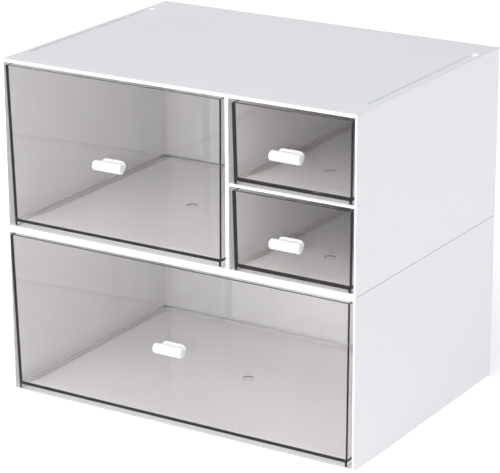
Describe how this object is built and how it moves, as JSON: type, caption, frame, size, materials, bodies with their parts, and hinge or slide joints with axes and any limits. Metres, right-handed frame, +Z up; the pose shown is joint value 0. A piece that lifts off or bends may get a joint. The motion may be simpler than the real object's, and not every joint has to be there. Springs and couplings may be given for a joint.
{
  "type": "stacking desk organizer",
  "caption": "Stacking white desk organizer with clear smoke-grey pull-out drawers: large, small and full-width, each with a short bar handle.",
  "frame": {"origin": "bottom centre of the whole bounding box, drawers closed and handles included, on the surface it stands on", "axes": "+X to the right seen from the front, +Y to the back, +Z up; the drawers open towards -Y"},
  "size_m": [0.26, 0.1988, 0.23],
  "materials": {
    "white_shell": "satin moulded white plastic",
    "smoke_drawer": "clear smoke-grey moulded plastic",
    "white_handle": "gloss moulded white plastic",
    "screw_steel": "zinc-plated steel"
  },
  "bodies": {
    "stack": {"lower_housing": "white_shell", "upper_housing": "white_shell", "bay_divider": "white_shell", "bay_shelf": "white_shell"},
    "wide_drawer": {"wide_drawer": "smoke_drawer", "wide_drawer_handle": "white_handle", "wide_drawer_screw": "screw_steel"},
    "left_drawer": {"left_drawer": "smoke_drawer", "left_drawer_handle": "white_handle", "left_drawer_screw": "screw_steel"},
    "top_right_drawer": {"top_right_drawer": "smoke_drawer", "top_right_drawer_handle": "white_handle", "top_right_drawer_screw": "screw_steel"},
    "bottom_right_drawer": {"bottom_right_drawer": "smoke_drawer", "bottom_right_drawer_handle": "white_handle", "bottom_right_drawer_screw": "screw_steel"}
  },
  "joints": [
    {"name": "wide_drawer_slide", "type": "slide", "parent": "stack", "child": "wide_drawer", "axis": [0, -1, 0], "range_m": [0, 0.14]},
    {"name": "left_drawer_slide", "type": "slide", "parent": "stack", "child": "left_drawer", "axis": [0, -1, 0], "range_m": [0, 0.14]},
    {"name": "top_right_drawer_slide", "type": "slide", "parent": "stack", "child": "top_right_drawer", "axis": [0, -1, 0], "range_m": [0, 0.14]},
    {"name": "bottom_right_drawer_slide", "type": "slide", "parent": "stack", "child": "bottom_right_drawer", "axis": [0, -1, 0], "range_m": [0, 0.14]}
  ]
}
